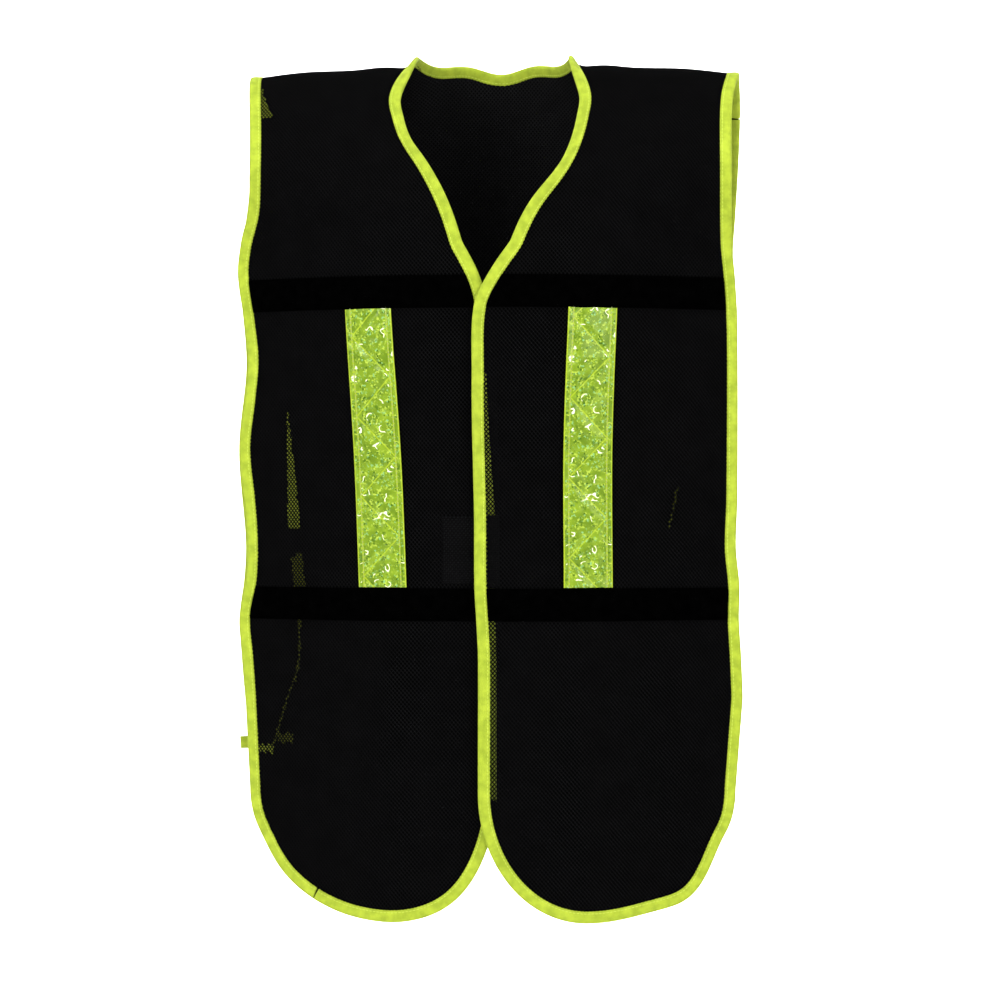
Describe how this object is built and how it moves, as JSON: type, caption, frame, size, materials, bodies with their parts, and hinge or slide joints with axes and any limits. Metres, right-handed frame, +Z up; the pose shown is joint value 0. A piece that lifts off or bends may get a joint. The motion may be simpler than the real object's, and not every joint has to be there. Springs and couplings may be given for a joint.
{
  "type": "high-visibility mesh vest",
  "caption": "Sleeveless dark mesh safety vest with lime taped edges, a V neck, cloth bands, upright reflective strips and ribbon side ties, held in its worn form.",
  "frame": {"origin": "midway between the shoulders, at the height where the vest rests on its wearer's shoulders", "axes": "+Z up, the front faces -Y, +X is the wearer's left"},
  "size_m": [0.4137, 0.1942, 0.6927],
  "materials": {
    "mesh": "matte open knit",
    "band": "matte ribbed tape",
    "binding": "matte woven tape",
    "label": "matte",
    "reflective": "glossy prismatic"
  },
  "bodies": {
    "root": {"front_right_mesh": "mesh", "front_left_mesh": "mesh", "back_mesh": "mesh", "chest_band_right": "band", "chest_band_left": "band", "chest_band_back": "band", "waist_band_right": "band", "waist_band_left": "band", "waist_band_back": "band", "reflective_strip_right": "reflective", "reflective_strip_left": "reflective", "binding_front": "binding", "binding_back": "binding", "side_tie_right": "binding", "side_tie_left": "binding", "inside_label": "label", "closure_patch": "label"}
  },
  "joints": []
}
